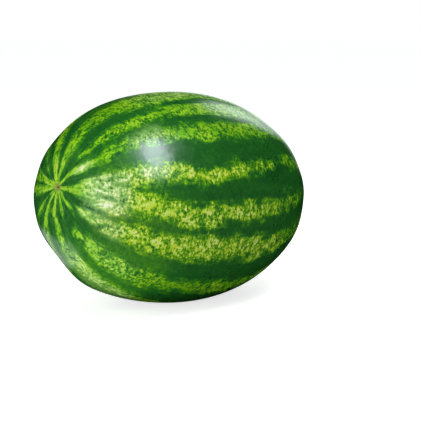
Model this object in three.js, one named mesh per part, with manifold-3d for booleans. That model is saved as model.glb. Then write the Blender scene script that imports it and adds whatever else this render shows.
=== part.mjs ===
// A whole watermelon lying on its side, with the dried stub of its stem.
//
// Millimetres, +Z up. The fruit's long axis runs along X: the scar of the blossom is at the -X end
// and the stem at the +X end. The origin is on the surface that the fruit rests on, under the
// middle of its box.

import * as THREE from "three";
import * as BufferGeometryUtils from "three/addons/utils/BufferGeometryUtils.js";
import Module from "manifold-3d";

const { degToRad, lerp, smoothstep } = THREE.MathUtils;

// ---- the fruit's body ----
const GIRTH_RADIUS = 116; // half of the fruit's thickness
const HALF_LENGTH = 1.46 * GIRTH_RADIUS;
const FULLNESS = 0.88; // 1 is an ellipsoid, and less than 1 fills out its ends
const TAPER = 0.02; // how much thicker the blossom half is than the stem half, as a share
const SCAR_RISE = degToRad(5.4); // how far the blossom scar sits above the body's long axis
const STEM_RISE = degToRad(6); // the same for the stem
const LYING_TILT = degToRad(4); // the blossom end lies a little higher than the stem end
const REST_DEPTH = 2; // how much of the underside the flat resting spot takes off

// ---- low relief of the rind, with heights along its normal ----
const LOBES = 10;
const LOBE_HEIGHT = 0.5;
const LOBE_PHASE = degToRad(12);
// Stretches where the fruit lay pressed or grew fuller: where they are, how wide, how high.
const UNEVEN = [
  { t: degToRad(40), f: degToRad(211), spread: degToRad(10), height: -2.8 },
  { t: degToRad(52), f: degToRad(192), spread: degToRad(7), height: 1.3 },
];
const SCAR = { pit: 0.9, pitRadius: 3.4, rim: 0.7, rimRadius: 5.2, rimWidth: 1.6 };
const SCAR_HOLLOW = { depth: 0.8, floor: 6, edge: 24 };
const STEM_HOLLOW = { depth: 3.5, floor: 9, edge: 30 };

// ---- the stem's stub ----
const STEM_LENGTH = 24;
const STEM_RADIUS = 4.2;
const STEM_FOOT = { radius: 7, height: 7 }; // where it widens to meet the fruit
const STEM_CUT_BEVEL = 0.6;
const STEM_RIDGES = 5;
const STEM_RIDGE_DEPTH = 0.09; // as a share of the radius
const STEM_BEND = degToRad(24);
const STEM_GAP = 0.3; // clearance between the stub's foot and the rind

// ---- fineness of the solids ----
const COLUMNS = 80;
const ROWS = 50;
const ROW_CROWDING = 0.8; // 0 is even rows, and more crowds them towards the two ends
const STEM_SIDES = 20;
const STEM_STEPS = 12;

const WAXY_RIND = new THREE.MeshStandardMaterial({ color: 0x2f6b24, roughness: 0.32, metalness: 0 });
const DRY_STEM = new THREE.MeshStandardMaterial({ color: 0x8a7a4c, roughness: 0.85, metalness: 0 });

const Y_AXIS = new THREE.Vector3(0, 1, 0);

/**
 * The direction in which a place on the rind lies, by how the fruit grows: t is the angle from the
 * blossom scar, and f the angle round the axis, from the top towards -Y. Lines of equal f are the
 * ones that the stripes follow, and they meet at the scar and at the stem.
 */
function growthDirection(t, f) {
  const direction = new THREE.Vector3(-Math.cos(t), -Math.sin(t) * Math.sin(f), Math.sin(t) * Math.cos(f));
  const bend = lerp(-STEM_RISE, SCAR_RISE, 0.5 + 0.5 * Math.cos(t));
  return direction.applyAxisAngle(Y_AXIS, bend);
}

/** Distance along the rind from one of the two ends, near that end. */
function distanceFromEnd(angle) {
  return GIRTH_RADIUS * Math.max(angle, 0) ** FULLNESS;
}

function hollow({ depth, floor, edge }, distance) {
  return -depth * (1 - smoothstep(distance, floor, edge));
}

function bump(height, distance, width) {
  return height * Math.exp(-((distance / width) ** 2) / 2);
}

/** Height of the rind over the plain body. */
function relief(t, f) {
  const fromScar = distanceFromEnd(t);
  const fromStem = distanceFromEnd(Math.PI - t);
  let height = LOBE_HEIGHT * Math.sin(t) * Math.cos(LOBES * (f - LOBE_PHASE));
  height += hollow(SCAR_HOLLOW, fromScar) + hollow(STEM_HOLLOW, fromStem);
  height -= bump(SCAR.pit, fromScar, SCAR.pitRadius / 2);
  height += bump(SCAR.rim, fromScar - SCAR.rimRadius, SCAR.rimWidth / 2);
  const here = growthDirection(t, f);
  for (const place of UNEVEN) {
    const away = here.angleTo(growthDirection(place.t, place.f));
    height += bump(place.height, away, place.spread);
  }
  return height;
}

/** A point of the rind and the outward normal there, with the fruit lying as it rests. */
function rindAt(t, f) {
  const direction = growthDirection(t, f);
  const cosine = -direction.x;
  const sine = Math.max(Math.hypot(direction.y, direction.z), 1e-6);
  const radius = GIRTH_RADIUS * sine ** FULLNESS * (1 + TAPER * cosine);
  const growth = GIRTH_RADIUS * FULLNESS * sine ** (FULLNESS - 1) * cosine * (1 + TAPER * cosine)
    - GIRTH_RADIUS * TAPER * sine ** (FULLNESS + 1);
  const point = new THREE.Vector3(
    -HALF_LENGTH * cosine,
    (radius * direction.y) / sine,
    (radius * direction.z) / sine,
  );
  const normal = new THREE.Vector3(
    -growth,
    HALF_LENGTH * direction.y,
    HALF_LENGTH * direction.z,
  ).normalize();
  point.addScaledVector(normal, relief(t, f));
  return {
    point: point.applyAxisAngle(Y_AXIS, LYING_TILT),
    normal: normal.applyAxisAngle(Y_AXIS, LYING_TILT),
  };
}

/** The angle from the scar of a row of the rind's grid, with share running from 0 to 1. */
function rowAngle(share) {
  return Math.PI * share - (ROW_CROWDING / 2) * Math.sin(2 * Math.PI * share);
}

/** A sphere's grid, with each of its points moved onto the rind. */
function makeRind() {
  const grid = new THREE.SphereGeometry(1, COLUMNS, ROWS);
  const { position } = grid.attributes;
  for (let i = 0; i < position.count; i += 1) {
    const row = Math.floor(i / (COLUMNS + 1));
    const column = (i % (COLUMNS + 1)) % COLUMNS;
    const isEnd = row === 0 || row === ROWS;
    const f = isEnd ? 0 : 2 * Math.PI * (1 - column / COLUMNS);
    position.setXYZ(i, ...rindAt(rowAngle(row / ROWS), f).point);
  }
  return closedMesh(grid);
}

/** The rind with its resting spot cut flat. */
function makeMelon() {
  const rind = makeRind();
  rind.computeBoundingBox();
  const size = rind.boundingBox.getSize(new THREE.Vector3());
  const slab = new THREE.BoxGeometry(size.x, size.y, 2 * REST_DEPTH);
  slab.translate(0, 0, rind.boundingBox.min.z);
  return toGeometry(toSolid(rind).subtract(toSolid(closedMesh(slab))));
}

/** Half of the stub's outline, from the middle of its foot to the middle of its cut. */
function stemProfile() {
  const points = [new THREE.Vector2(0, 0)];
  for (let i = 0; i <= STEM_STEPS; i += 1) {
    const height = ((STEM_LENGTH - STEM_CUT_BEVEL) * i) / STEM_STEPS;
    const flare = Math.exp(-((height / STEM_FOOT.height) ** 2) * 2);
    points.push(new THREE.Vector2(lerp(STEM_RADIUS, STEM_FOOT.radius, flare), height));
  }
  points.push(new THREE.Vector2(STEM_RADIUS - STEM_CUT_BEVEL, STEM_LENGTH));
  points.push(new THREE.Vector2(0, STEM_LENGTH - STEM_CUT_BEVEL));
  return points;
}

/** The stub standing on its foot along +Y, ridged, and bent sideways in an arc towards +X. */
function makeStem() {
  const stub = new THREE.LatheGeometry(stemProfile(), STEM_SIDES);
  const { position } = stub.attributes;
  const arcRadius = STEM_LENGTH / STEM_BEND;
  for (let i = 0; i < position.count; i += 1) {
    const p = new THREE.Vector3().fromBufferAttribute(position, i);
    const ridge = 1 + STEM_RIDGE_DEPTH * Math.cos(STEM_RIDGES * Math.atan2(p.x, p.z));
    p.x *= ridge;
    p.z *= ridge;
    const along = p.y / arcRadius;
    position.setXYZ(
      i,
      arcRadius - (arcRadius - p.x) * Math.cos(along),
      (arcRadius - p.x) * Math.sin(along),
      p.z,
    );
  }
  return closedMesh(stub);
}

/** A geometry with only its positions, and with the vertices that lie on each other joined. */
function closedMesh(geometry) {
  geometry.deleteAttribute("normal");
  geometry.deleteAttribute("uv");
  return BufferGeometryUtils.mergeVertices(geometry);
}

function toSolid(geometry) {
  return new wasm.Manifold(new wasm.Mesh({
    numProp: 3,
    vertProperties: Float32Array.from(geometry.attributes.position.array),
    triVerts: Uint32Array.from(geometry.index.array),
  }));
}

function toGeometry(solid) {
  const mesh = solid.getMesh();
  const geometry = new THREE.BufferGeometry();
  geometry.setAttribute("position", new THREE.BufferAttribute(mesh.vertProperties, 3));
  geometry.setIndex(new THREE.BufferAttribute(mesh.triVerts, 1));
  geometry.computeVertexNormals();
  return geometry;
}

function namedMesh(name, geometry, material) {
  const mesh = new THREE.Mesh(geometry, material);
  mesh.name = name;
  return mesh;
}

const wasm = await Module();
wasm.setup();

const melon = namedMesh("melon", makeMelon(), WAXY_RIND);

// The stub stands on the rind at the stem end, and bends upwards.
const stem = namedMesh("stem", makeStem(), DRY_STEM);
const seat = rindAt(Math.PI, 0);
const sideways = new THREE.Vector3().crossVectors(seat.normal, Y_AXIS).normalize();
stem.quaternion.setFromRotationMatrix(
  new THREE.Matrix4().makeBasis(sideways, seat.normal, new THREE.Vector3().crossVectors(sideways, seat.normal)),
);
stem.position.copy(seat.point).addScaledVector(seat.normal, STEM_GAP);

const watermelon = new THREE.Group();
watermelon.add(melon, stem);
const box = new THREE.Box3().setFromObject(watermelon, true);
const middle = box.getCenter(new THREE.Vector3());
watermelon.position.set(-middle.x, -middle.y, -box.min.z);

export default watermelon;
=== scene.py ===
"""A whole watermelon on a pale studio floor: its striped rind and the dried stub of its stem.

The rind is one fine mesh made by the same formula as the solid it stands for. Places on it are
given by how the fruit grows: t is the angle from the blossom scar at the -X end, and f the angle
round the axis, from the top towards -Y. The stripes run along lines of nearly equal f.
"""

import math
from types import SimpleNamespace

import bpy
import numpy as np
from mathutils import Matrix, Quaternion, Vector


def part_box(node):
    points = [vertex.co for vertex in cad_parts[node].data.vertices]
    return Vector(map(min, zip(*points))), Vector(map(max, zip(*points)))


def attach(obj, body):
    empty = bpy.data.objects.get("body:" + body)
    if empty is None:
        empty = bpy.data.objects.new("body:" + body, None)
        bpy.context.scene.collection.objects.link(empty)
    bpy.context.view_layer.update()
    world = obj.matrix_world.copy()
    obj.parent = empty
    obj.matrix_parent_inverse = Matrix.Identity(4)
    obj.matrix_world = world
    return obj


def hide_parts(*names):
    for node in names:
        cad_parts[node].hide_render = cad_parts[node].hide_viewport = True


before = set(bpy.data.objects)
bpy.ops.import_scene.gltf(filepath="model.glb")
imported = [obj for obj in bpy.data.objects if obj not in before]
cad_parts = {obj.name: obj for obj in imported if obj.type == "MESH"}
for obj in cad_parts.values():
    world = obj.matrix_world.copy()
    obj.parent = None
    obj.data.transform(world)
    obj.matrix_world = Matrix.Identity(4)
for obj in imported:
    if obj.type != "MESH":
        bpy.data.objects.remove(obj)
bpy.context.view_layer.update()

MM = 0.001

# ---- the fruit's body, in millimetres and radians, as the solid has it ----
GIRTH_RADIUS = 116.0
HALF_LENGTH = 1.46 * GIRTH_RADIUS
FULLNESS = 0.88
TAPER = 0.02
SCAR_RISE = math.radians(5.4)
STEM_RISE = math.radians(6)
LYING_TILT = math.radians(4)
LOBES = 10
LOBE_HEIGHT = 0.5
LOBE_PHASE = math.radians(12)
UNEVEN = [  # a dent and a swelling: t, f and spread in degrees, and the height
    (40, 211, 10, -2.8),
    (52, 192, 7, 1.3),
]
SCAR_PIT = dict(height=-0.9, radius=3.4)
SCAR_RIM = dict(height=0.7, radius=5.2, width=1.6)
SCAR_HOLLOW = dict(depth=0.8, floor=6, edge=24)
STEM_HOLLOW = dict(depth=3.5, floor=9, edge=30)
REST_ROUNDING = 0.25  # how softly the resting spot's edge turns

ROWS = 220
COLUMNS = 400
ROW_CROWDING = 0.8  # at 0 the rows are evenly spaced, and nearer 1 they crowd at the two ends
ALONG_SAMPLES = 200  # how finely the way along the rind is measured

# ---- the stem's stub, in millimetres and radians ----
STEM_LENGTH = 24.0
STEM_RADIUS = 4.2
STEM_FOOT = dict(radius=7.0, height=7.0)
STEM_BEND = math.radians(24)
STEM_SUNK = 0.8  # how far its foot goes into the rind
STEM_TWIST = math.radians(26)
STEM_RIDGES = 5
STEM_WRINKLES = 13
STEM_RELIEF = dict(ridge=0.085, groove=-0.03, wrinkle=0.028)  # as shares of the radius
STEM_FOOT_RELIEF = 0.5  # how much stronger the relief is at the foot
STEM_WAIST = dict(middle=0.06, uneven=0.03)  # as shares of the radius
STEM_CUT_BEVEL = 0.6
STEM_CUT_ROUND = [  # over the edge of the broken end: share of the radius, and rise in bevels
    (1, 0.35), (0.93, 0.8), (0.82, 1.0), (0.7, 0.9), (0.55, 0.55), (0.35, 0.1), (0.15, -0.1),
]
STEM_CUT_WAVE = 0.35  # how far the broken end is from level
STEM_CUT_DIP = 0.1  # how deep the middle of the broken end lies
STEM_COLUMNS = 90
STEM_ROWS = 70

# ---- the camera: where it stands, in degrees and metres, and what it looks past ----
IMAGE_PX = 421
CAMERA_AZIMUTH = -45
CAMERA_ELEVATION = 8
CAMERA_DISTANCE = 1.3
FOCAL_PX = 1176
FRUIT_CENTRE_PX = (175.4, 196.9)
SENSOR_MM = 36

# ---- the room: lengths in metres ----
FLOOR_HALF = 30.0
FLOOR_COLOUR = (0.8, 0.8, 0.8, 1)
FLOOR_GLOW = 0.72  # what the camera sees beside the floor's own colour, so that it looks white
AMBIENT_COLOUR = (0.93, 0.97, 1.0, 1)
AMBIENT_STRENGTH = 0.36
SOFTBOX_GAP = 0.02  # between a softbox's layers

# ---- the markings ----
# Light stripes from the scar to the stem: (t, f, half the width), in degrees. A stripe has run
# out where half the width is below zero.
LIGHT_STRIPES = [
    [(4, 358, 8), (8, 3, 8), (12, 3, 7.5), (20, 2, 8), (40, 4, 9), (60, 7.5, 11.5), (76, 8, 12),
     (100, 8, 11.8), (115, 7, 10), (130, 7, 8), (165, 5, 5)],
    [(12, 29, -3), (17, 29, 2), (30, 29, 4), (46, 28, 4.3), (58, 27.8, 4.8), (66, 28.6, 5.4),
     (74, 30.6, 6), (82, 31.6, 5.3), (100, 30, 7.2), (120, 30, 6), (165, 30, 3)],
    [(4, 38, 5), (8.5, 40, 6), (11, 43, 6.5), (14, 45.5, 7), (17, 48.5, 7.5), (22, 48, 6),
     (27, 47, 5.6), (42, 46, 5.5), (54, 46, 5.5), (74, 46.8, 7.2), (88, 45.5, 5.3), (98, 46, 5.5),
     (108, 46.8, 6), (165, 45, 4)],
    [(4, 89, 8), (9, 88, 9), (13, 86, 13), (17, 79, 14), (20, 77.5, 12.8), (23, 76.5, 11),
     (30, 77, 12), (36, 76.5, 12), (40, 72.3, 8), (43, 72.3, 7.5), (46, 71, 6.8), (50, 70.2, 6.6),
     (58, 69.5, 6.5), (63, 73.3, 4.8), (71, 72.4, 3.8), (77, 70.2, 4.1), (85, 68.5, 3.5),
     (95, 69.7, 3.2), (104, 68.6, 3), (110, 66.5, 0), (116, 65.5, 4), (128, 65, 4), (165, 66, 3.5)],
    [(13, 93, -2), (16, 94.5, 3.5), (20, 95.5, 4.5), (25, 98.5, 6.5), (30, 96, 7.5),
     (34, 91.5, 8), (41, 91.5, 7), (46, 93, 7), (55, 93.7, 6), (66, 93, 6), (80, 92, 5.5),
     (97, 92.5, 4.5), (110, 88.5, 4.5), (120, 87.5, 4.5), (165, 87, 3)],
    [(11, 120, -3), (15, 119, 4), (25, 118, 6), (35, 116, 7), (60, 113, 7), (120, 112, 6),
     (165, 112, 4)],
    [(4, 136, 8), (6, 135, 7), (8, 131, 5.5), (12, 128, 2.5), (15, 138, -3), (20, 149, 5.2),
     (27, 144, 6), (38, 143, 6), (46, 141.5, 5.2), (60, 142, 5.5), (120, 139, 6), (165, 138, 4)],
    [(4, 156, 7), (9, 157, 6), (12, 159, 0), (15, 160, -5)],
    [(4, 184, 6), (9, 187, 5.5), (12, 182, 5.5), (15, 178, 5.5), (20, 178, 6), (27, 174.5, 7.5),
     (38, 169.5, 8), (50, 168, 7), (62, 167, 6), (120, 168, 6), (165, 170, 4)],
    [(4, 212, 5), (12, 210, 4.2), (20, 208, 7), (40, 202, 9), (60, 202, 8), (100, 203, 8),
     (165, 205, 4)],
    [(6, 230, -2), (9, 230, 2.6), (18, 229, 2.4), (40, 230, 4), (60, 231, 6), (120, 232, 6),
     (165, 230, 4)],
    [(4, 262, 9), (10, 264, 9), (20, 267, 7), (40, 262, 6.5), (60, 259, 8), (100, 257, 8),
     (165, 260, 4)],
    [(4, 288, 9), (10, 288, 8), (16, 286, 6), (40, 287, 5), (60, 287, 6), (100, 288, 7),
     (165, 287, 4)],
    [(6, 310, -2), (10, 310, 2), (18, 311, 1.5), (40, 312, 4.5), (60, 312, 6), (110, 311, 7),
     (165, 312, 4)],
    [(4, 337, 8), (10, 338, 8), (18, 334, 8), (30, 333, 7), (60, 334, 6.5), (110, 335, 6.5),
     (165, 336, 4)],
]
STRIPE_SWAY = dict(most=1.1, waves=7.3, shift=77, grows=(10, 50))  # how they swing, in degrees

# Patches of the rind: where each starts and ends in t (along) and in f (round_) and how softly,
# in degrees, and how strong it is. Where patches overlap, their shares add up.

# Here the flakes run together in a pale, waxy bloom. In the fan by the scar this bloom is also a painted
# haze of reflection, round the highlight a painted highlight, and at the top right a painted sheen.
BLOOM_AND_PAINTED_SHEEN_PATCHES = [
    dict(along=(-20, 18), round_=(-10, 370), soft=(6, 1), share=0.08),
    # The fan: waxy bloom and a painted haze of reflection.
    dict(along=(16, 35), round_=(67, 104), soft=(5, 4), share=0.8),
    dict(along=(13, 22), round_=(102, 109), soft=(4, 3), share=0.6),
    dict(along=(15, 36), round_=(110, 126), soft=(4, 4), share=0.45),
    dict(along=(20, 30), round_=(105, 112), soft=(4, 4), share=0.45),
    dict(along=(23, 36), round_=(163, 184), soft=(5, 5), share=0.55),
    dict(along=(36, 64), round_=(163, 184), soft=(5, 5), share=0.5),
    dict(along=(24, 50), round_=(135, 150), soft=(4, 4), share=0.15),
    # Round the highlight and just above it: painted highlight and painted reflection.
    dict(along=(41, 54), round_=(37, 48), soft=(4, 3), share=0.8),
    dict(along=(41, 51), round_=(66, 73), soft=(4, 3), share=0.7),
    dict(along=(49, 55), round_=(35, 43), soft=(2.5, 2.5), share=0.55),
    dict(along=(12, 20), round_=(42, 53), soft=(4, 3), share=0.6),
    # At the top right: painted sheen.
    dict(along=(62, 125), round_=(-16, 17), soft=(10, 4), share=0.4),
    dict(along=(86, 125), round_=(18, 38), soft=(6, 4), share=0.35),
]
# Here the whole rind is lighter, or darker where the share is below zero. One patch, just above the
# highlight, is a painted reflection.
CREAM_PATCHES = [
    dict(along=(21, 33), round_=(93, 105), soft=(3, 2), share=1.1),
    dict(along=(15, 21), round_=(91, 98), soft=(2, 2), share=0.6),
    dict(along=(9, 21), round_=(42, 53), soft=(3, 3), share=1.1),
    dict(along=(15, 20), round_=(78, 87), soft=(2.5, 3), share=0.2),
    dict(along=(25, 40), round_=(75, 88), soft=(3, 4), share=0.35),
    dict(along=(37, 43), round_=(42, 49), soft=(3, 3), share=0.3),
    dict(along=(56, 64), round_=(25, 31), soft=(3, 2), share=0.5),
    dict(along=(16, 23), round_=(113, 121), soft=(2, 3), share=0.65),
    dict(along=(25, 34), round_=(111, 119), soft=(3, 3), share=0.5),
    dict(along=(12, 26), round_=(102, 111), soft=(3, 2), share=-0.3),
    dict(along=(18, 27), round_=(71, 82), soft=(3, 3), share=-0.75),
    dict(along=(26, 34), round_=(85, 91), soft=(2, 2), share=-0.6),
    dict(along=(33, 48), round_=(84, 96), soft=(3, 3), share=0.4),
    dict(along=(24, 30), round_=(97, 104), soft=(2, 2), share=0.7),
    dict(along=(33, 36), round_=(90, 95), soft=(2, 2), share=-0.5),
    dict(along=(44, 54), round_=(44, 56), soft=(3, 3), share=-0.6),
    dict(along=(40, 51), round_=(64, 73), soft=(4, 3), share=-0.3),
    dict(along=(44, 49), round_=(60, 65), soft=(2, 2), share=-0.5),
    # Just above the highlight: painted reflection.
    dict(along=(49, 54), round_=(36, 41), soft=(2, 2), share=0.2),
    dict(along=(30, 38), round_=(51, 56), soft=(4, 3), share=0.2),
    dict(along=(12, 21), round_=(174, 184), soft=(3, 3), share=0.6),
    dict(along=(21, 27), round_=(140, 150), soft=(3, 3), share=0.5),
    dict(along=(34, 50), round_=(161, 174), soft=(4, 4), share=0.5),
    dict(along=(34, 42), round_=(136, 149), soft=(3, 3), share=-0.45),
    dict(along=(22, 31), round_=(136, 147), soft=(3, 3), share=0.5),
    dict(along=(62, 82), round_=(63, 77), soft=(8, 4), share=0.2),
    dict(along=(92, 110), round_=(61, 76), soft=(6, 4), share=-0.5),
    dict(along=(5, 24), round_=(105, 172), soft=(3, 10), share=-0.18),
]
# Here the light stripes are yellower.
RIPE_PATCHES = [
    dict(along=(26, 112), round_=(62, 126), soft=(14, 7)),
]
# Here the dark stripes are a lighter, yellower green.
LUSH_PATCHES = [
    dict(along=(22, 62), round_=(88, 196), soft=(8, 26)),
    dict(along=(22, 40), round_=(50, 66), soft=(8, 6), share=0.8),
    dict(along=(40, 90), round_=(-16, 16), soft=(12, 6), share=0.8),
]
# Here the stripes' edges are even.
NEAT_PATCHES = [
    dict(along=(72, 120), round_=(-10, 38), soft=(16, 4), share=0.85),
]
WILD_FROM = (14, 56)  # the stripes' edges turn ragged between these, in mm from either end
MOTTLED_FROM = (26, 64)  # the light stripes turn mottled between these, in mm from either end
# Towards the stem end the light stripes break up and dim: partly their own breaking up, partly painted
# shade.
FAINT_AND_SHADED_FROM = (75, 120)  # the light stripes break up between these, in degrees of t
GROUND_SPOT = dict(x=-3.0, length=62.0, width=46.0, top=30.0)  # in mm
GROUND_SPOT_FADES = (0.1, 0.9)  # from its middle, 0, to its rim, 1


# ---- small helpers ----
def lerp(low, high, share):
    return low + (high - low) * share


def smoothstep(x, low, high):
    share = np.clip((x - low) / (high - low), 0, 1)
    return share * share * (3 - 2 * share)


def bump(height, distance, width):
    return height * np.exp(-((distance / width) ** 2) / 2)


def turned_about_y(vectors, angle):
    x, y, z = np.moveaxis(vectors, -1, 0)
    cosine, sine = np.cos(angle), np.sin(angle)
    return np.stack([x * cosine + z * sine, y, z * cosine - x * sine], -1)


# ---- the rind's shape ----
def growth_direction(t, f):
    direction = np.stack([-np.cos(t), -np.sin(t) * np.sin(f), np.sin(t) * np.cos(f)], -1)
    return turned_about_y(direction, lerp(-STEM_RISE, SCAR_RISE, 0.5 + 0.5 * np.cos(t)))


def distance_from_end(angle):
    return GIRTH_RADIUS * np.maximum(angle, 0) ** FULLNESS


def hollow(distance, depth, floor, edge):
    return -depth * (1 - smoothstep(distance, floor, edge))


def relief(t, f):
    """How far the rind rises above the plain body, in mm."""
    from_scar = distance_from_end(t)
    height = LOBE_HEIGHT * np.sin(t) * np.cos(LOBES * (f - LOBE_PHASE))
    height += hollow(from_scar, **SCAR_HOLLOW)
    height += hollow(distance_from_end(np.pi - t), **STEM_HOLLOW)
    height += bump(SCAR_PIT["height"], from_scar, SCAR_PIT["radius"] / 2)
    height += bump(SCAR_RIM["height"], from_scar - SCAR_RIM["radius"], SCAR_RIM["width"] / 2)
    here = growth_direction(t, f)
    for place_t, place_f, spread, lift in UNEVEN:
        there = growth_direction(np.radians(place_t), np.radians(place_f))
        away = np.arccos(np.clip(here @ there, -1, 1))
        height += bump(lift, away, np.radians(spread))
    return height


def rind_at(t, f):
    """Points of the rind, in mm from the body's centre, and the outward normals there, with the
    fruit lying as it rests."""
    direction = growth_direction(t, f)
    cosine = -direction[..., 0]
    sine = np.maximum(np.hypot(direction[..., 1], direction[..., 2]), 1e-6)
    full = 1 + TAPER * cosine
    radius = GIRTH_RADIUS * sine**FULLNESS * full
    growth = FULLNESS * sine ** (FULLNESS - 1) * cosine * full - TAPER * sine ** (FULLNESS + 1)
    points = np.stack(
        [-HALF_LENGTH * cosine, radius * direction[..., 1] / sine, radius * direction[..., 2] / sine], -1
    )
    normals = np.stack(
        [-GIRTH_RADIUS * growth, HALF_LENGTH * direction[..., 1], HALF_LENGTH * direction[..., 2]], -1
    )
    normals /= np.linalg.norm(normals, axis=-1, keepdims=True)
    points += normals * relief(t, f)[..., None]
    return turned_about_y(points, LYING_TILT), turned_about_y(normals, LYING_TILT)


def along_rind():
    """Samples of t from the scar to the stem, and how far each is from the scar, in mm."""
    t = np.linspace(0, np.pi, ALONG_SAMPLES)
    line, _ = rind_at(t, np.full(ALONG_SAMPLES, np.pi / 2))
    steps = np.linalg.norm(np.diff(line, axis=0), axis=1)
    return t, np.concatenate([[0], np.cumsum(steps)])


def row_angles():
    share = np.arange(ROWS + 1) / ROWS
    return np.pi * share - (ROW_CROWDING / 2) * np.sin(2 * np.pi * share)


# ---- the markings' places ----
def light_distance(t, f):
    """How far each place is inside the nearest light stripe, in mm, or outside it if negative."""
    across = GIRTH_RADIUS * np.maximum(np.sin(t), 1e-4) ** FULLNESS * np.radians(1)
    t_deg, f_deg = np.degrees(t), np.degrees(f)
    best = np.full(np.shape(t), -1e3)
    for number, keys in enumerate(LIGHT_STRIPES):
        key_t, key_f, key_half = np.array(keys, float).T
        key_f = np.degrees(np.unwrap(np.radians(key_f)))
        wave = np.sin(np.radians(t_deg * STRIPE_SWAY["waves"] + number * STRIPE_SWAY["shift"]))
        sway = STRIPE_SWAY["most"] * wave * smoothstep(t_deg, *STRIPE_SWAY["grows"])
        centre = np.interp(t_deg, key_t, key_f) + sway
        half = np.interp(t_deg, key_t, key_half)
        off = np.abs((f_deg - centre + 180) % 360 - 180)
        best = np.maximum(best, (half - off) * across)
    return best


def patch(t, f, along, round_, soft, share=1.0):
    """The share inside one patch of the rind, 0 outside it, and between the two at its edges."""
    t_deg = np.degrees(t)
    inside = share * smoothstep(t_deg, along[0] - soft[0], along[0] + soft[0])
    inside *= 1 - smoothstep(t_deg, along[1] - soft[0], along[1] + soft[0])
    middle, half = (round_[0] + round_[1]) / 2, (round_[1] - round_[0]) / 2
    off = np.abs((np.degrees(f) - middle + 180) % 360 - 180)
    return inside * (1 - smoothstep(off, half - soft[1], half + soft[1]))


def of_patches(t, f, patches):
    """The sum of a list's patches at each place."""
    return np.sum([patch(t, f, **each) for each in patches], axis=0)


def ground_spot(points):
    """The pale place on the underside where the fruit lay on the soil: 1 inside, 0 outside."""
    x_share = (points[:, 0] - GROUND_SPOT["x"]) / GROUND_SPOT["length"]
    y_share = points[:, 1] / GROUND_SPOT["width"]
    inside = 1 - smoothstep(np.hypot(x_share, y_share), *GROUND_SPOT_FADES)
    return np.where(points[:, 2] < GROUND_SPOT["top"], inside, 0)


# ---- meshes ----
def mesh_object(name, points, faces, smooth=True):
    mesh = bpy.data.meshes.new(name)
    mesh.from_pydata(np.asarray(points).tolist(), [], faces)
    mesh.polygons.foreach_set("use_smooth", [smooth] * len(mesh.polygons))
    mesh.update()
    piece = bpy.data.objects.new(name, mesh)
    bpy.context.scene.collection.objects.link(piece)
    return piece


def add_attribute(piece, name, values):
    kind, key = ("FLOAT_VECTOR", "vector") if np.ndim(values) == 2 else ("FLOAT", "value")
    layer = piece.data.attributes.new(name, kind, "POINT")
    layer.data.foreach_set(key, np.asarray(values, np.float32).ravel())


def ball_faces(rows, columns, outward=True):
    """Faces of a closed grid whose first and last vertex are its two ends."""
    last = 1 + (rows - 1) * columns
    faces = [(0, 1 + (c + 1) % columns, 1 + c) for c in range(columns)]
    for r in range(rows - 2):
        a, b = 1 + r * columns, 1 + (r + 1) * columns
        for c in range(columns):
            d = (c + 1) % columns
            faces.append((a + c, a + d, b + d, b + c))
    a = 1 + (rows - 2) * columns
    faces += [(last, a + c, a + (c + 1) % columns) for c in range(columns)]
    return faces if outward else [face[::-1] for face in faces]


def ball_grid(t_of_rows, columns):
    """The t and f of each vertex of ball_faces' grid."""
    f = np.arange(columns) * (2 * np.pi / columns)
    inner = np.asarray(t_of_rows[1:-1])
    t_all = np.concatenate([[t_of_rows[0]], np.repeat(inner, columns), [t_of_rows[-1]]])
    f_all = np.concatenate([[0.0], np.tile(f, len(inner)), [0.0]])
    return t_all, f_all


def map_ball(piece, t, f):
    """A UV map that runs once round the axis and from end to end, with its seam at f = 0."""
    mesh = piece.data
    corners = np.empty(len(mesh.loops), np.int32)
    mesh.loops.foreach_get("vertex_index", corners)
    starts = np.empty(len(mesh.polygons), np.int32)
    counts = np.empty(len(mesh.polygons), np.int32)
    mesh.polygons.foreach_get("loop_start", starts)
    mesh.polygons.foreach_get("loop_total", counts)
    face = np.repeat(np.arange(len(starts)), counts)
    round_share = f[corners] / (2 * np.pi)
    at_end = (corners == 0) | (corners == len(t) - 1)
    # A face that reaches over the seam has corners in both the last and the first quarter.
    highest = np.full(len(starts), -1.0)
    np.maximum.at(highest, face[~at_end], round_share[~at_end])
    over_seam = ~at_end & (highest[face] > 0.75) & (round_share < 0.25)
    round_share[over_seam] += 1
    # At the two ends, each face's corner stands over the middle of its other corners.
    total = np.bincount(face[~at_end], round_share[~at_end], len(starts))
    middle = total / np.bincount(face[~at_end], minlength=len(starts))
    round_share[at_end] = middle[face[at_end]]
    places = np.stack([round_share, t[corners] / np.pi], -1)
    mesh.uv_layers.new(name="OFBake").uv.foreach_set("vector", places.astype(np.float32).ravel())


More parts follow.
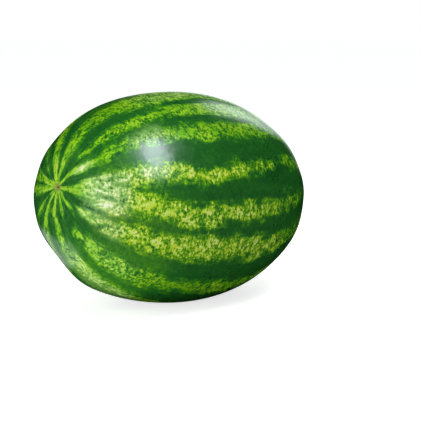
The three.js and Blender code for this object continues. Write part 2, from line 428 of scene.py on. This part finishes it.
def make_rind():
    """The rind's mesh with all that its material reads, and where its body's centre is, in mm."""
    t, f = ball_grid(row_angles(), COLUMNS)
    points, _ = rind_at(t, f)
    melon_low, melon_high = (np.array(corner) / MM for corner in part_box("melon"))
    shift = (melon_low + melon_high - points.min(0) - points.max(0)) / 2
    shift[2] = melon_high[2] - points[:, 2].max()
    points += shift
    height = points[:, 2]
    flattened = REST_ROUNDING * np.log1p(np.exp(height / REST_ROUNDING))
    points[:, 2] = np.where(height > 4 * REST_ROUNDING, height, flattened)
    rind = mesh_object("rind", points * MM, ball_faces(ROWS, COLUMNS))

    # Some noises follow the stripes. They are laid on flow, the way along the rind and round it.
    # Others are laid on place, which is in the fruit's own axes, before it lies down.
    along = np.interp(t, *along_rind())
    flow = np.stack([along, GIRTH_RADIUS * np.sin(f), GIRTH_RADIUS * np.cos(f)], -1)
    place = turned_about_y(points - shift, -LYING_TILT)
    from_end = distance_from_end(np.minimum(t, np.pi - t))
    # pale is the waxy bloom, and in places a painted haze, painted highlight and painted sheen.
    pale = of_patches(t, f, BLOOM_AND_PAINTED_SHEEN_PATCHES)
    for name, values in {
        "light_distance": light_distance(t, f),
        "flow": flow * MM,
        "place": place * MM,
        "pale": pale,
        # cream: one of its patches is a painted reflection.
        "cream": of_patches(t, f, CREAM_PATCHES),
        "ripe": of_patches(t, f, RIPE_PATCHES),
        "lush": of_patches(t, f, LUSH_PATCHES),
        "wild": smoothstep(from_end, *WILD_FROM) * (1 - of_patches(t, f, NEAT_PATCHES)),
        "mottled": np.maximum(smoothstep(from_end, *MOTTLED_FROM), pale),
        # faint: the light stripes breaking up, and partly painted shade.
        "faint": smoothstep(np.degrees(t), *FAINT_AND_SHADED_FROM),
        "from_scar": distance_from_end(t),
        "from_stem": distance_from_end(np.pi - t),
        "ground_spot": ground_spot(points),
    }.items():
        add_attribute(rind, name, values)
    map_ball(rind, t, f)
    return rind, shift


# ---- shader nodes ----
class Shader:
    """Adds nodes to a material. Inputs are given as numbers, colours or other nodes' outputs."""

    def __init__(self, name):
        self.material = bpy.data.materials.new(name)
        self.material.use_nodes = True
        self.tree = self.material.node_tree
        self.surface = self.tree.nodes["Principled BSDF"]

    def node(self, kind, inputs=(), **settings):
        made = self.tree.nodes.new("ShaderNode" + kind)
        for key, value in settings.items():
            setattr(made, key, value)
        for key, value in dict(inputs).items():
            self.put(made.inputs[key], value)
        return made

    def put(self, socket, value):
        if isinstance(value, bpy.types.NodeSocket):
            self.tree.links.new(value, socket)
        else:
            socket.default_value = value

    def math(self, operation, *values, clamp=False):
        made = self.node("Math", operation=operation, use_clamp=clamp)
        for socket, value in zip(made.inputs, values):
            self.put(socket, value)
        return made.outputs[0]

    def times(self, first, second):
        return self.math("MULTIPLY", first, second)

    def plus(self, base, value, weight, clamp=False):
        """base + value * weight."""
        return self.math("MULTIPLY_ADD", value, weight, base, clamp=clamp)

    def between(self, share, at_0, at_1):
        """From at_0 to at_1, evenly as share goes from 0 to 1."""
        return self.plus(at_0, share, at_1 - at_0)

    def rest_of(self, share):
        return self.math("SUBTRACT", 1.0, share)

    def step(self, value, low, high):
        """Smoothly from 0 at low to 1 at high."""
        made = self.node("MapRange", {"Value": value, "From Min": low, "From Max": high},
                         interpolation_type="SMOOTHSTEP")
        return made.outputs["Result"]

    def within(self, distance, near, far):
        """1 nearer than near and 0 farther than far."""
        return self.rest_of(self.step(distance, near, far))

    def attribute(self, name, output="Fac"):
        return self.node("Attribute", attribute_name=name).outputs[output]

    def stretched(self, vector, scale):
        return self.node("VectorMath", {0: vector, 1: scale}, operation="MULTIPLY").outputs[0]

    def noise(self, vector, feature_mm, detail=2.0, roughness=0.5, distortion=0.0):
        """Noise with features about so many millimetres across, centred on 0."""
        made = self.node("TexNoise", {
            "Vector": vector, "Scale": 1 / (feature_mm * MM), "Detail": detail,
            "Roughness": roughness, "Distortion": distortion})
        return self.math("SUBTRACT", made.outputs["Fac"], 0.5)

    # A Mix node's inputs are 0 for the share, 2 and 3 for numbers, and 6 and 7 for colours.
    def lerp(self, share, first, second):
        """A number between two others."""
        made = self.node("Mix", data_type="FLOAT")
        for number, value in ((0, share), (2, first), (3, second)):
            self.put(made.inputs[number], value)
        return made.outputs[0]

    def mix(self, share, first, second):
        """A colour between two others."""
        made = self.node("Mix", data_type="RGBA")
        for number, value in ((0, share), (6, first), (7, second)):
            self.put(made.inputs[number], value)
        return made.outputs[2]

    def tint(self, share, colour, factors):
        return self.mix(share, colour, self.stretched(colour, factors))

    def ramp(self, value, stops):
        made = self.node("ValToRGB", {"Fac": value})
        steps = made.color_ramp.elements
        while len(steps) < len(stops):
            steps.new(0.5)
        for step, (place, colour) in zip(steps, stops):
            step.position = place
            step.color = srgb(*colour)
        return made.outputs["Color"]

    def finish(self, colour, roughness, specular, height):
        """Gives the surface its looks, with a relief whose height is in mm."""
        bumps = self.node("Bump", {"Height": height, "Strength": 1.0, "Distance": MM})
        for name, value in (
            ("Base Color", colour), ("Roughness", roughness),
            ("Specular IOR Level", specular), ("Normal", bumps.outputs["Normal"]),
        ):
            self.put(self.surface.inputs[name], value)
        return self.material


def srgb(red, green, blue):
    """A colour from 0 to 255 as the eye's scale has it, as the linear one that shaders take."""
    def linear(level):
        level /= 255
        return level / 12.92 if level <= 0.04045 else ((level + 0.055) / 1.055) ** 2.4
    return (linear(red), linear(green), linear(blue), 1.0)


# ---- the rind's material ----
RIND_COLOURS = [  # from the darkest green to cream
    (0.02, (19, 76, 25)), (0.22, (33, 99, 30)), (0.40, (58, 126, 20)), (0.52, (86, 154, 12)),
    (0.64, (125, 181, 18)), (0.80, (182, 210, 50)), (0.98, (214, 226, 166)),
]
# Under the bloom the tones turn paler and bluer; in places this is a painted haze, highlight and sheen
# of reflection.
BLOOM_AND_PAINTED_SHEEN_COLOURS = [  # the same tones under the waxy bloom
    (0.08, (88, 144, 56)), (0.28, (110, 163, 78)), (0.46, (131, 179, 86)),
    (0.60, (154, 194, 104)), (0.76, (187, 210, 142)), (0.94, (212, 226, 186)),
]
COOL_TINT = (0.82, 1.0, 1.0)
RIPE_TINT = (1.03, 0.94, 1.04)
LUSH_TINT = (1.2, 1.0, 1.0)
PIT = srgb(84, 62, 34)
CORK = srgb(158, 140, 84)
SCAR_DISC = srgb(140, 170, 66)
SOIL_PALE = srgb(226, 214, 138)


def rind_noises(s):
    """The noises that the rind is painted with, from the largest features to the smallest."""
    flow = s.attribute("flow", "Vector")
    place = s.attribute("place", "Vector")
    lengthwise = s.stretched(place, (0.7, 1, 1))  # features longer along the fruit than round it
    crosswise = s.stretched(place, (1.1, 0.8, 0.8))  # features longer round the fruit
    flakes = s.noise(flow, 17.857, detail=4, roughness=0.58, distortion=0.8)
    blotches = s.noise(lengthwise, 16, detail=2, roughness=0.5, distortion=0.4)
    swell = s.noise(flow, 14, detail=1)
    chunks = s.noise(lengthwise, 11, detail=3, roughness=0.6, distortion=0.5)
    streaks = s.noise(s.stretched(flow, (0.12, 1, 1)), 7, detail=4, roughness=0.6)
    lace = s.noise(crosswise, 4.8, detail=4, roughness=0.62, distortion=0.5)
    grain = s.noise(crosswise, 2.3, detail=2, roughness=0.6)
    specks = s.noise(flow, 1.4, detail=2)
    pores = s.noise(flow, 1.3, detail=1)

    # Near the scar, crisp flakes take the lace's place.
    flakes = s.plus(s.between(s.step(flakes, -0.15, 0.15), -0.17, 0.17), lace, 0.6)
    lace = s.lerp(s.step(s.attribute("from_scar"), 58, 88), flakes, lace)
    return SimpleNamespace(swell=swell, blotches=blotches, chunks=chunks, streaks=streaks,
                           lace=lace, grain=grain, specks=specks, pores=pores)


def stripe_core(s, noises):
    """1 inside the light stripes and 0 between them. Noise makes their edges wander."""
    wild = s.attribute("wild")  # 0 where the stripes' edges are crisp, 1 where they are ragged
    wander = s.between(s.times(wild, s.step(s.attribute("from_scar"), 40, 110)), 6.0, 23.0)
    edge = s.plus(s.attribute("light_distance"), noises.blotches, wander)
    edge = s.plus(edge, noises.streaks, s.between(wild, 4.0, 12.0))
    return s.step(edge, s.between(wild, -1.5, -6.5), s.between(wild, 1.0, 7.0))


def rind_tone(s, noises, core, pale, ripe, lush):
    """From the darkest green, 0, to cream, 1. The dark stripes are the smooth ones."""
    mottled = s.attribute("mottled")  # 0 where the stripes are even inside, 1 where they are mottled
    tone = s.plus(0.14, core, s.between(mottled, 0.55, 0.41))
    for value, weight in (
        (lush, 0.18),
        # Towards the stem end: partly painted shade.
        (s.attribute("faint"), s.times(core, -0.11)),
        (ripe, s.times(core, 0.09)),
        (pale, -0.03),
        (s.attribute("cream"), 0.22),
    ):
        tone = s.plus(tone, value, weight)
    contrast = s.plus(0.28, core, s.between(mottled, 0.2, 0.9))
    contrast = s.times(contrast, s.between(pale, 1.15, 1.4))
    for noise, weight in (
        (noises.lace, s.times(contrast, 1.3)),
        (noises.grain, s.times(contrast, 1.1)),
        (noises.streaks, s.between(mottled, 0.34, 0.2)),
        (noises.chunks, s.plus(s.times(core, 0.5), pale, 0.35)),
    ):
        tone = s.plus(tone, noise, weight)
    lightest = s.plus(s.between(ripe, 0.68, 0.85), pale, 0.3)
    return s.math("SMOOTH_MIN", tone, s.plus(lightest, noises.blotches, 0.4), 0.12)


def rind_greens(s, noises, tone, pale, ripe, lush):
    """The colour of the striped rind."""
    # Where the rind is pale it takes these colours: the waxy bloom, and in places a painted haze,
    # highlight and sheen.
    bloom_and_painted_sheen = s.times(pale, s.step(tone, -0.1, 0.15))
    colour = s.mix(bloom_and_painted_sheen, s.ramp(tone, RIND_COLOURS), s.ramp(tone, BLOOM_AND_PAINTED_SHEEN_COLOURS))
    cooler = s.plus(s.between(ripe, 0.35, 0.0), pale, -0.35)
    cooler = s.plus(cooler, noises.chunks, 2.5, clamp=True)
    colour = s.tint(cooler, colour, COOL_TINT)
    colour = s.tint(ripe, colour, RIPE_TINT)
    return s.tint(lush, colour, LUSH_TINT)


def rind_marks(s, noises, colour, disc, from_scar):
    """Adds the scar's disc, corky ring and pit, the cork round the stem, and the ground spot."""
    colour = s.mix(s.times(disc, 0.7), colour, SCAR_DISC)
    colour = s.mix(s.within(from_scar, 2.0, 4.2), colour, CORK)
    colour = s.mix(s.within(from_scar, 0.7, 2.2), colour, PIT)
    from_stem = s.plus(s.attribute("from_stem"), noises.streaks, 6.0)
    colour = s.mix(s.within(from_stem, 8.5, 12.5), colour, CORK)
    worn = s.times(s.plus(1.0, noises.chunks, 3.0), s.attribute("ground_spot"))
    return s.mix(s.times(s.step(worn, 0.15, 0.85), 0.9), colour, SOIL_PALE)


def rind_material():
    s = Shader("rind")
    noises = rind_noises(s)
    pale = s.attribute("pale")
    ripe = s.attribute("ripe")
    core = stripe_core(s, noises)
    lush = s.times(s.attribute("lush"), s.rest_of(core))
    tone = rind_tone(s, noises, core, pale, ripe, lush)
    colour = rind_greens(s, noises, tone, pale, ripe, lush)

    from_scar = s.plus(s.attribute("from_scar"), noises.specks, 5.0)
    disc = s.within(from_scar, 4.0, 7.5)
    colour = rind_marks(s, noises, colour, disc, from_scar)

    height = s.plus(s.times(noises.swell, 0.35), noises.pores, 0.02)
    height = s.plus(height, noises.lace, 0.1)
    height = s.plus(height, noises.specks, s.times(disc, 0.5))
    return s.finish(colour, roughness=s.plus(0.21, tone, 0.06), specular=0.5, height=height)


# ---- the stem ----
def stem_axes(shift):
    """Where the stem grows from the rind, in mm, and its sideways, outward and third axes."""
    seats, normals = rind_at(np.array([np.pi]), np.array([0.0]))
    outward = normals[0]
    sideways = np.cross(outward, [0, 1, 0])
    sideways /= np.linalg.norm(sideways)
    return seats[0] + shift, np.stack([sideways, outward, np.cross(sideways, outward)])


def make_stem(shift):
    """The dried stub: ridged and twisted, flared where it enters the rind, broken off at its end."""
    cut_round = np.array(STEM_CUT_ROUND)
    up_side = np.linspace(-STEM_SUNK, STEM_LENGTH - STEM_CUT_BEVEL, STEM_ROWS)
    height = np.concatenate([up_side, up_side[-1] + STEM_CUT_BEVEL * cut_round[:, 1]])
    share = np.concatenate([np.ones(STEM_ROWS), cut_round[:, 0]])

    angle = np.arange(STEM_COLUMNS) * (2 * np.pi / STEM_COLUMNS)
    a, h = np.meshgrid(angle, height)
    along = h / STEM_LENGTH
    flare = np.exp(-2 * (np.maximum(h, 0) / STEM_FOOT["height"]) ** 2)
    turned = a + STEM_TWIST * along
    ridge = np.cos(STEM_RIDGES * turned)
    # The wrinkles wander as they climb, and come and go round the stem.
    wrinkle = np.cos(STEM_WRINKLES * turned + 2.2 * np.sin(3.1 * along + 1) + 0.7)
    wrinkle *= np.cos(2 * turned + 5 * along)
    waist = 1 - STEM_WAIST["middle"] * np.sin(np.pi * along)
    waist -= STEM_WAIST["uneven"] * np.sin(7 * along + 0.5)
    rough = STEM_RELIEF["ridge"] * ridge + STEM_RELIEF["groove"] * ridge**2
    rough += STEM_RELIEF["wrinkle"] * wrinkle
    radius = lerp(STEM_RADIUS * waist, STEM_FOOT["radius"], flare)
    radius *= 1 + rough * (1 + STEM_FOOT_RELIEF * flare)
    radius *= share[:, None]
    h = h + STEM_CUT_WAVE * np.cos(2 * a + 0.6) * smoothstep(along, 0.8, 1)

    arc = STEM_LENGTH / STEM_BEND
    bent = h / arc
    inward = arc - radius * np.sin(a)
    points = np.stack([arc - inward * np.cos(bent), inward * np.sin(bent), radius * np.cos(a)], -1)
    foot_end = [0.0, -STEM_SUNK, 0.0]
    broken_end = points[-1].mean(0) - [0, STEM_CUT_DIP, 0]
    local = np.concatenate([[foot_end], points.reshape(-1, 3), [broken_end]])
    seat, axes = stem_axes(shift)
    faces = ball_faces(len(height) + 1, STEM_COLUMNS, outward=False)
    stem = mesh_object("stem_stub", (seat + local @ axes) * MM, faces)

    def whole(first, values, last):
        """Values for all vertices, from the foot's end to the broken one."""
        return np.concatenate([[first], np.asarray(values).ravel(), [last]])

    fibres = np.stack([
        whole(0, h, STEM_LENGTH),
        whole(0, STEM_RADIUS * np.sin(turned), 0),
        whole(0, STEM_RADIUS * np.cos(turned), 0),
    ], -1)
    add_attribute(stem, "fibres", fibres * MM)
    add_attribute(stem, "crest", whole(0, ridge * 0.7 + wrinkle * 0.3, 0))
    add_attribute(stem, "foot", whole(1, flare, 0))
    add_attribute(stem, "cut", whole(0, np.broadcast_to(1 - share[:, None], a.shape), 1))
    return stem


DRY_COLOURS = [
    (0.1, (84, 68, 38)), (0.45, (140, 120, 74)), (0.75, (180, 160, 108)), (1.0, (206, 190, 142)),
]
GREENISH_COLOURS = [(0.1, (70, 82, 32)), (0.5, (116, 128, 58)), (1.0, (164, 168, 96))]
WOOD_COLOURS = [  # from the rim of the broken end to its middle
    (0.06, (150, 128, 82)), (0.2, (206, 190, 142)), (0.34, (150, 124, 76)),
    (0.5, (196, 178, 128)), (0.9, (122, 98, 58)),
]


def stem_material():
    s = Shader("dry_stem")
    fibres = s.attribute("fibres", "Vector")
    grain = s.noise(s.stretched(fibres, (0.12, 1, 1)), 0.9, detail=4, roughness=0.65)
    mottle = s.noise(fibres, 4.5, detail=3, roughness=0.6)
    tone = s.plus(0.5, s.attribute("crest"), 0.2)
    tone = s.plus(tone, grain, 1.1)
    tone = s.plus(tone, mottle, 0.6)
    greenish = s.plus(s.times(s.attribute("foot"), 0.8), mottle, 0.6, clamp=True)
    colour = s.mix(greenish, s.ramp(tone, DRY_COLOURS), s.ramp(tone, GREENISH_COLOURS))
    cut = s.attribute("cut")
    wood = s.ramp(s.plus(cut, grain, 0.5), WOOD_COLOURS)
    colour = s.mix(s.step(cut, 0.02, 0.1), colour, wood)
    height = s.plus(s.times(grain, 0.5), mottle, 0.3)
    return s.finish(colour, roughness=s.plus(0.72, grain, 0.3), specular=0.3, height=height)


# ---- camera, floor and lights ----
def toward(azimuth, elevation):
    """The direction to so many degrees round from -Y towards +X, and so many up."""
    a, e = math.radians(azimuth), math.radians(elevation)
    return Vector((math.sin(a) * math.cos(e), -math.cos(a) * math.cos(e), math.sin(e)))


def place_camera(centre):
    """Stands the camera in its place, and turns it so that the fruit's centre lands on its pixel."""
    back = toward(CAMERA_AZIMUTH, CAMERA_ELEVATION)
    right = toward(CAMERA_AZIMUTH + 90, 0)
    up = back.cross(right)
    off_x = FRUIT_CENTRE_PX[0] - IMAGE_PX / 2
    off_y = FRUIT_CENTRE_PX[1] - IMAGE_PX / 2
    yaw = Matrix.Rotation(math.atan2(off_x, FOCAL_PX), 3, up)
    right = yaw @ right
    pitch = Matrix.Rotation(math.atan2(off_y, math.hypot(FOCAL_PX, off_x)), 3, right)
    backward, upward = pitch @ yaw @ back, pitch @ up
    camera = bpy.data.objects.new("camera", bpy.data.cameras.new("camera"))
    bpy.context.scene.collection.objects.link(camera)
    camera.data.sensor_width = SENSOR_MM
    camera.data.lens = SENSOR_MM * FOCAL_PX / IMAGE_PX
    place = Matrix((right, upward, backward)).transposed().to_4x4()
    place.translation = centre + back * CAMERA_DISTANCE
    camera.matrix_world = place
    bpy.context.scene.camera = camera


def add_panel(name, place, away, size, radiance, colour=(1, 1, 1), shows="both", turn=0):
    """An oval lamp with its back to away. It shows as light, as gloss or as both."""
    light = bpy.data.lights.new(name, "AREA")
    light.shape = "ELLIPSE"
    light.size, light.size_y = size
    light.energy = radiance * math.pi**2 * size[0] * size[1] / 4
    light.color = colour
    lamp = bpy.data.objects.new(name, light)
    bpy.context.scene.collection.objects.link(lamp)
    lamp.rotation_mode = "QUATERNION"
    lamp.rotation_quaternion = away.to_track_quat("Z", "Y") @ Quaternion((0, 0, 1), math.radians(turn))
    lamp.location = place
    lamp.visible_camera = False
    lamp.visible_diffuse = shows != "gloss"
    lamp.visible_glossy = shows != "light"


def add_wall_panel(name, centre, azimuth, elevation, distance, size, radiance, **settings):
    """A lamp at that distance from the fruit and turned to it."""
    away = toward(azimuth, elevation)
    add_panel(name, centre + away * distance, away, size, radiance, **settings)


def add_floor_panel(name, place, size, radiance, **settings):
    """A lamp that lies just above the floor and shines up, as light that the floor throws back."""
    add_panel(name, Vector(place), Vector((0, 0, -1)), size, radiance, **settings)


def add_softbox(name, centre, azimuth, elevation, distance, size, radiance, softness=0.25, **settings):
    """A lamp turned to the fruit, in three layers so that it dims towards its rim."""
    for layer, scale in enumerate((1 - softness, 1, 1 + softness)):
        add_wall_panel(f"{name}_{layer}", centre, azimuth, elevation, distance + SOFTBOX_GAP * layer,
                       size=(size[0] * scale, size[1] * scale), radiance=radiance / 3, **settings)


def add_floor():
    half = FLOOR_HALF
    corners = [(-half, -half, 0), (half, -half, 0), (half, half, 0), (-half, half, 0)]
    floor = mesh_object("floor", corners, [(0, 1, 2, 3)], smooth=False)
    s = Shader("floor")
    seen = s.node("LightPath").outputs["Is Camera Ray"]
    for name, value in (
        ("Base Color", FLOOR_COLOUR), ("Roughness", 1.0), ("Specular IOR Level", 0.0),
        ("Emission Color", (1, 1, 1, 1)), ("Emission Strength", s.times(seen, FLOOR_GLOW)),
    ):
        s.put(s.surface.inputs[name], value)
    floor.data.materials.append(s.material)
    floor.visible_glossy = False


def add_world():
    """White behind everything, and a faint even light that shows in no gloss."""
    world = bpy.data.worlds.new("room")
    bpy.context.scene.world = world
    world.use_nodes = True
    nodes, links = world.node_tree.nodes, world.node_tree.links
    seen = nodes["Background"]
    seen.inputs["Color"].default_value = (1, 1, 1, 1)
    seen.inputs["Strength"].default_value = 1.0
    ambient = nodes.new("ShaderNodeBackground")
    ambient.inputs["Color"].default_value = AMBIENT_COLOUR
    ambient.inputs["Strength"].default_value = AMBIENT_STRENGTH
    path = nodes.new("ShaderNodeLightPath")
    choose = nodes.new("ShaderNodeMixShader")
    links.new(path.outputs["Is Camera Ray"], choose.inputs[0])
    links.new(ambient.outputs[0], choose.inputs[1])
    links.new(seen.outputs[0], choose.inputs[2])
    links.new(choose.outputs[0], nodes["World Output"].inputs["Surface"])
    world.cycles_visibility.glossy = False


def add_lamps(centre):
    # Lamps that show as gloss alone
    add_softbox("key", centre, azimuth=-9.5, elevation=56, distance=2.0, size=(0.68, 1.35),
                radiance=14.2, softness=0.1, colour=(0.93, 0.95, 1.1), shows="gloss", turn=-10)
    add_softbox("halo", centre, azimuth=-20, elevation=52, distance=2.2, size=(1.9, 1.9),
                radiance=0.8, colour=(0.7, 1.0, 0.92), shows="gloss")

    # Lamps that only light
    add_wall_panel("overhead", centre, azimuth=-8, elevation=66, distance=2.0, size=(1.2, 1.2),
                   radiance=5.8, shows="light")
    add_wall_panel("window", centre, azimuth=-80, elevation=16, distance=2.2, size=(2.4, 1.9),
                   radiance=2.5, shows="light")
    add_wall_panel("fill", centre, azimuth=118, elevation=30, distance=2.2, size=(1.6, 1.4),
                   radiance=1.6, shows="light")

    # Gloss again, along the fruit's sides and its rim
    add_softbox("veil", centre, azimuth=-70, elevation=8, distance=2.2, size=(1.9, 1.2),
                radiance=1.3, colour=(0.9, 0.97, 1.0), shows="gloss")
    add_softbox("back", centre, azimuth=111, elevation=26, distance=2.2, size=(0.5, 1.0),
                radiance=2.4, colour=(0.88, 1.0, 0.96), shows="gloss")
    add_softbox("rim", centre, azimuth=127, elevation=4, distance=2.2, size=(1.0, 0.6),
                radiance=2.0, colour=(0.88, 1.0, 0.96), shows="gloss")

    # What the floor throws back
    add_floor_panel("glow", (-0.15, 0.17, 0.002), size=(0.12, 0.32), radiance=0.85,
                    colour=(0.9, 1.0, 0.92), shows="gloss", turn=28)
    add_floor_panel("bounce", (-0.26, 0.12, 0.003), size=(0.4, 0.5), radiance=0.35, shows="light")
    add_floor_panel("apron", (-0.52, 0.0, 0.003), size=(0.8, 0.9), radiance=0.24,
                    colour=(0.85, 1.0, 0.95), shows="light")


# ---- the scene ----
rind, centre_mm = make_rind()
rind.data.materials.append(rind_material())
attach(rind, "root")
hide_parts("melon")

stem = make_stem(centre_mm)
stem.data.materials.append(stem_material())
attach(stem, "root")
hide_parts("stem")

centre = Vector(centre_mm * MM)
place_camera(centre)
add_floor()
add_world()
add_lamps(centre)
bpy.context.scene.view_settings.view_transform = "Standard"
